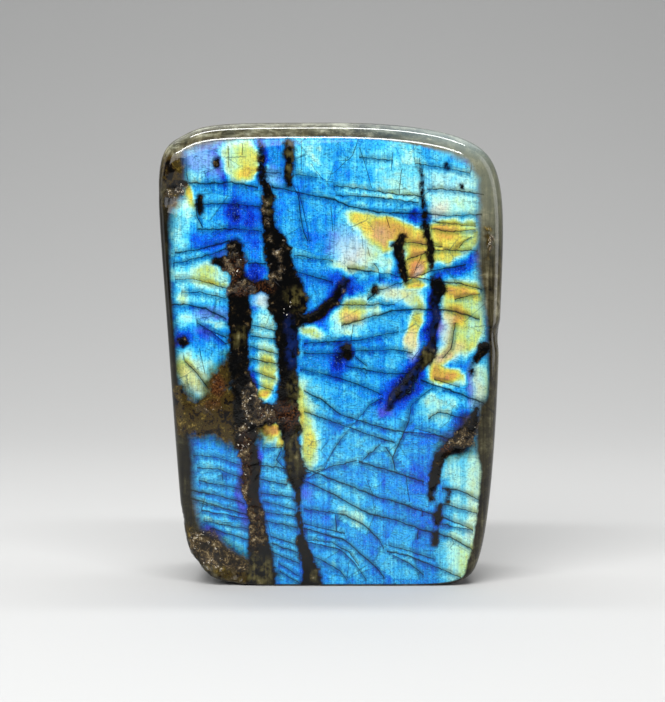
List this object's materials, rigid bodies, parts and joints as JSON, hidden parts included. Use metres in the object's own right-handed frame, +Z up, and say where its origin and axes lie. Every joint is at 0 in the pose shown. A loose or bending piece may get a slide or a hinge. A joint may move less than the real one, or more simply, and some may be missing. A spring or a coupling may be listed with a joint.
{
  "type": "polished labradorite freeform",
  "caption": "Free-standing polished slab of labradorite with rounded rims, dark seams and a blue and gold flash on its front, for display on a shelf or desk",
  "frame": {"origin": "middle of the bounding box at the flat sawn foot", "axes": "+Z up along the height, +X to the right and -Y out of the flashing front face"},
  "size_m": [0.0896, 0.0384, 0.12],
  "materials": {
    "labradorite": "polished, with a blue and gold flash and dark seams"
  },
  "bodies": {
    "root": {"labradorite_slab": "labradorite"}
  },
  "joints": []
}
